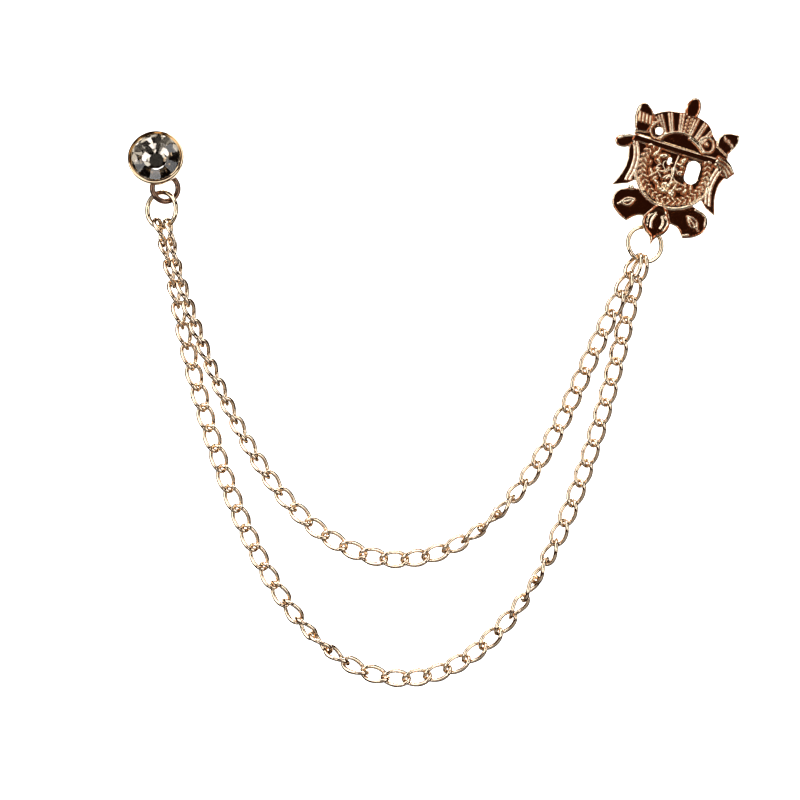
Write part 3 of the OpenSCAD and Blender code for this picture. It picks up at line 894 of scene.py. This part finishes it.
wear(stone, crystal_glass)
stone.data.materials.append(foil)
for face in stone.data.polygons:
    if face.normal.z < FACES_BACK:
        face.material_index = 1
set_in_place(stone, STUD)
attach(stone, "root")
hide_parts("stud_stone")
print("foiled facets:", sum(face.material_index for face in stone.data.polygons))

# %% [markdown]
# ## Rings and posts
# The two jump rings and the two posts are plain round wire, and their solids show all
# there is to see. They stay as they are and only get their metal.

# %% Finish the plain solids
for node_name, finish in (("brooch_jump_ring", pale_gilt), ("stud_jump_ring", pale_gilt),
                          ("brooch_post", post_steel), ("stud_post", post_steel)):
    node = nodes[node_name]
    node.data.materials.clear()
    node.data.materials.append(finish)
    print(node_name, faces_of(node), "faces")

# %% [markdown]
# ## The paper behind
# The chain is photographed as it hangs, in front of white. A pale sheet of paper lies
# below and behind it and rises in one soft bend. It starts 0.19 m behind the chain,
# because polished gold over a white floor would mirror it and lose its dark lines.

# %% Stage
PAPER_MIDDLE = (-0.055, 0.745, -0.16)
PAPER_WIDE = 1.6
PAPER_LONG = 1.11
PAPER_RISE = 1.4
PAPER_BEND = 0.35
# Paper scatters light evenly. Its faint clouds are about 17 mm across.
CLOUDS_PER_METRE = 60.0

bpy.ops.object.select_all(action="DESELECT")
bpy.ops.mesh.primitive_plane_add(size=1, location=PAPER_MIDDLE)
sweep = named("pale_sweep")
sweep.scale = (PAPER_WIDE, PAPER_LONG, 1)
bpy.ops.object.transform_apply(location=True, scale=True)
bpy.ops.object.mode_set(mode="EDIT")
bpy.ops.mesh.select_mode(type="EDGE")
bpy.ops.mesh.select_all(action="DESELECT")
bpy.ops.object.mode_set(mode="OBJECT")
for edge in sweep.data.edges:
    ends = [sweep.data.vertices[i].co for i in edge.vertices]
    edge.select = all(end.y > 1 for end in ends)
bpy.ops.object.mode_set(mode="EDIT")
bpy.ops.mesh.extrude_region_move(TRANSFORM_OT_translate={"value": (0, 0, PAPER_RISE)})
bpy.ops.object.mode_set(mode="OBJECT")
finish_with(sweep, "BEVEL", width=PAPER_BEND, segments=24, limit_method="ANGLE")
soften(sweep, 60)
paper, shader = new_material("matt_white_background_paper")
where = add(paper, "ShaderNodeTexCoord")
clouds = add(paper, "ShaderNodeTexNoise", {"Scale": CLOUDS_PER_METRE},
             {"Vector": where.outputs["Object"]})
tint = add(paper, "ShaderNodeMix", {"A": srgb("#F6F5F3"), "B": srgb("#FBFAF8")},
           {"Factor": clouds.outputs["Fac"]}, data_type="RGBA")
paper.node_tree.links.new(tint.outputs["Result"], shader.inputs["Base Color"])
shader.inputs["Roughness"].default_value = 0.9
sweep.data.materials.append(paper)
print("paper:", faces_of(sweep), "faces")

# %% [markdown]
# ## The lamps
# Polished gold only shows what it reflects. Three broad soft lamps, at the left, at the
# right and above, give the bright lines. Two small ones fill the ends of the links that
# the broad ones miss, a dim card lifts the undersides, and one lamp lights the paper.

# %% Lamps
# The middle of the photograph's frame
AIM = Vector((-0.0546, 0, -0.0458))


def lamp(name, at, size, brightness, target=AIM):
    """A soft lamp: its size in metres, its brightness as a mirror shows it, where 1 is white."""
    bpy.ops.object.light_add(type="AREA", location=at)
    light = bpy.context.object
    light.name = name
    light.data.shape = "RECTANGLE"
    light.data.size, light.data.size_y = size
    light.data.energy = brightness * math.pi * size[0] * size[1]
    light.rotation_euler = (Vector(target) - Vector(at)).to_track_quat("-Z", "Y").to_euler()


def around_aim(turn, lift, distance):
    """A place round the chain's middle: turn to the right of the camera, lift above it."""
    a, e = math.radians(turn), math.radians(lift)
    return AIM + distance * Vector((math.sin(a) * math.cos(e), -math.cos(a) * math.cos(e),
                                    math.sin(e)))


lamp("key_softbox", around_aim(-42, 20, 0.8), (0.56, 0.7), 2.4)
lamp("side_strip", around_aim(46, 4, 0.8), (0.28, 0.75), 2.4)
lamp("top_softbox", around_aim(0, 62, 0.7), (0.8, 0.34), 2.6)
lamp("left_fill", around_aim(-14, -10, 0.6), (0.14, 0.14), 4)
lamp("right_fill", around_aim(26, -6, 0.6), (0.12, 0.14), 3.5)
lamp("low_card", around_aim(0, -50, 0.5), (0.8, 0.3), 0.35)
lamp("back_wash", (-0.05, 0.55, 0.75), (0.9, 0.3), 30, (-0.05, 1.3, -0.1))

# %% [markdown]
# ## The room
# Between the lamps the metal reflects a dim warm room, which gives the brown lines. The
# camera sees a pale one instead, so that the chain stands in front of white from every
# side. Light that has passed through the stone meets a third: bright windows and dark
# corners, which is what makes a cut stone look cut.

# %% Room
room = bpy.data.worlds.new("studio_room")
bpy.context.scene.world = room
room.use_nodes = True
dim = room.node_tree.nodes["Background"]
dim.inputs["Color"].default_value = srgb("#86624F")
dim.inputs["Strength"].default_value = 0.16
seen = add(room, "ShaderNodeLightPath")
pale = add(room, "ShaderNodeBackground", {"Color": srgb("#F4F3F1")})
to_eye = add(room, "ShaderNodeMixShader", links={
    "Fac": seen.outputs["Is Camera Ray"], 1: dim.outputs[0], 2: pale.outputs[0]})
# Broad noise, cut hard, leaves bright patches with clear edges, as windows have.
way = add(room, "ShaderNodeTexCoord")
patches = add(room, "ShaderNodeTexNoise", {"Scale": 5.0, "Detail": 1.0},
              {"Vector": way.outputs["Generated"]})
lit = add(room, "ShaderNodeMapRange",
          {"From Min": 0.45, "From Max": 0.58, "To Min": 0.03, "To Max": 1.6},
          {"Value": patches.outputs["Fac"]})
lively = add(room, "ShaderNodeBackground", {"Color": srgb("#E9E6DA")},
             {"Strength": lit.outputs[0]})
whole = add(room, "ShaderNodeMixShader", links={
    "Fac": seen.outputs["Is Transmission Ray"], 1: to_eye.outputs[0], 2: lively.outputs[0]})
room.node_tree.links.new(whole.outputs[0], room.node_tree.nodes["World Output"].inputs["Surface"])
print("rooms: dim, pale and lively")

# %% [markdown]
# ## The camera
# A long lens looks at the chain square on, as the photograph does. At this distance its
# frame is 0.16 m wide, which is 0.2 mm for each of the photograph's 800 pixels.

# %% Camera
CAMERA_DISTANCE = 0.4444
bpy.ops.object.camera_add(location=(AIM.x, -CAMERA_DISTANCE, AIM.z),
                          rotation=(math.radians(90), 0, 0))
camera = bpy.context.object
camera.name = "front_camera"
camera.data.lens = 100
camera.data.sensor_width = 36
camera.data.clip_start = 0.01
bpy.context.scene.camera = camera
bpy.context.scene.view_settings.view_transform = "Standard"
print("camera at:", [round(v, 3) for v in camera.location])
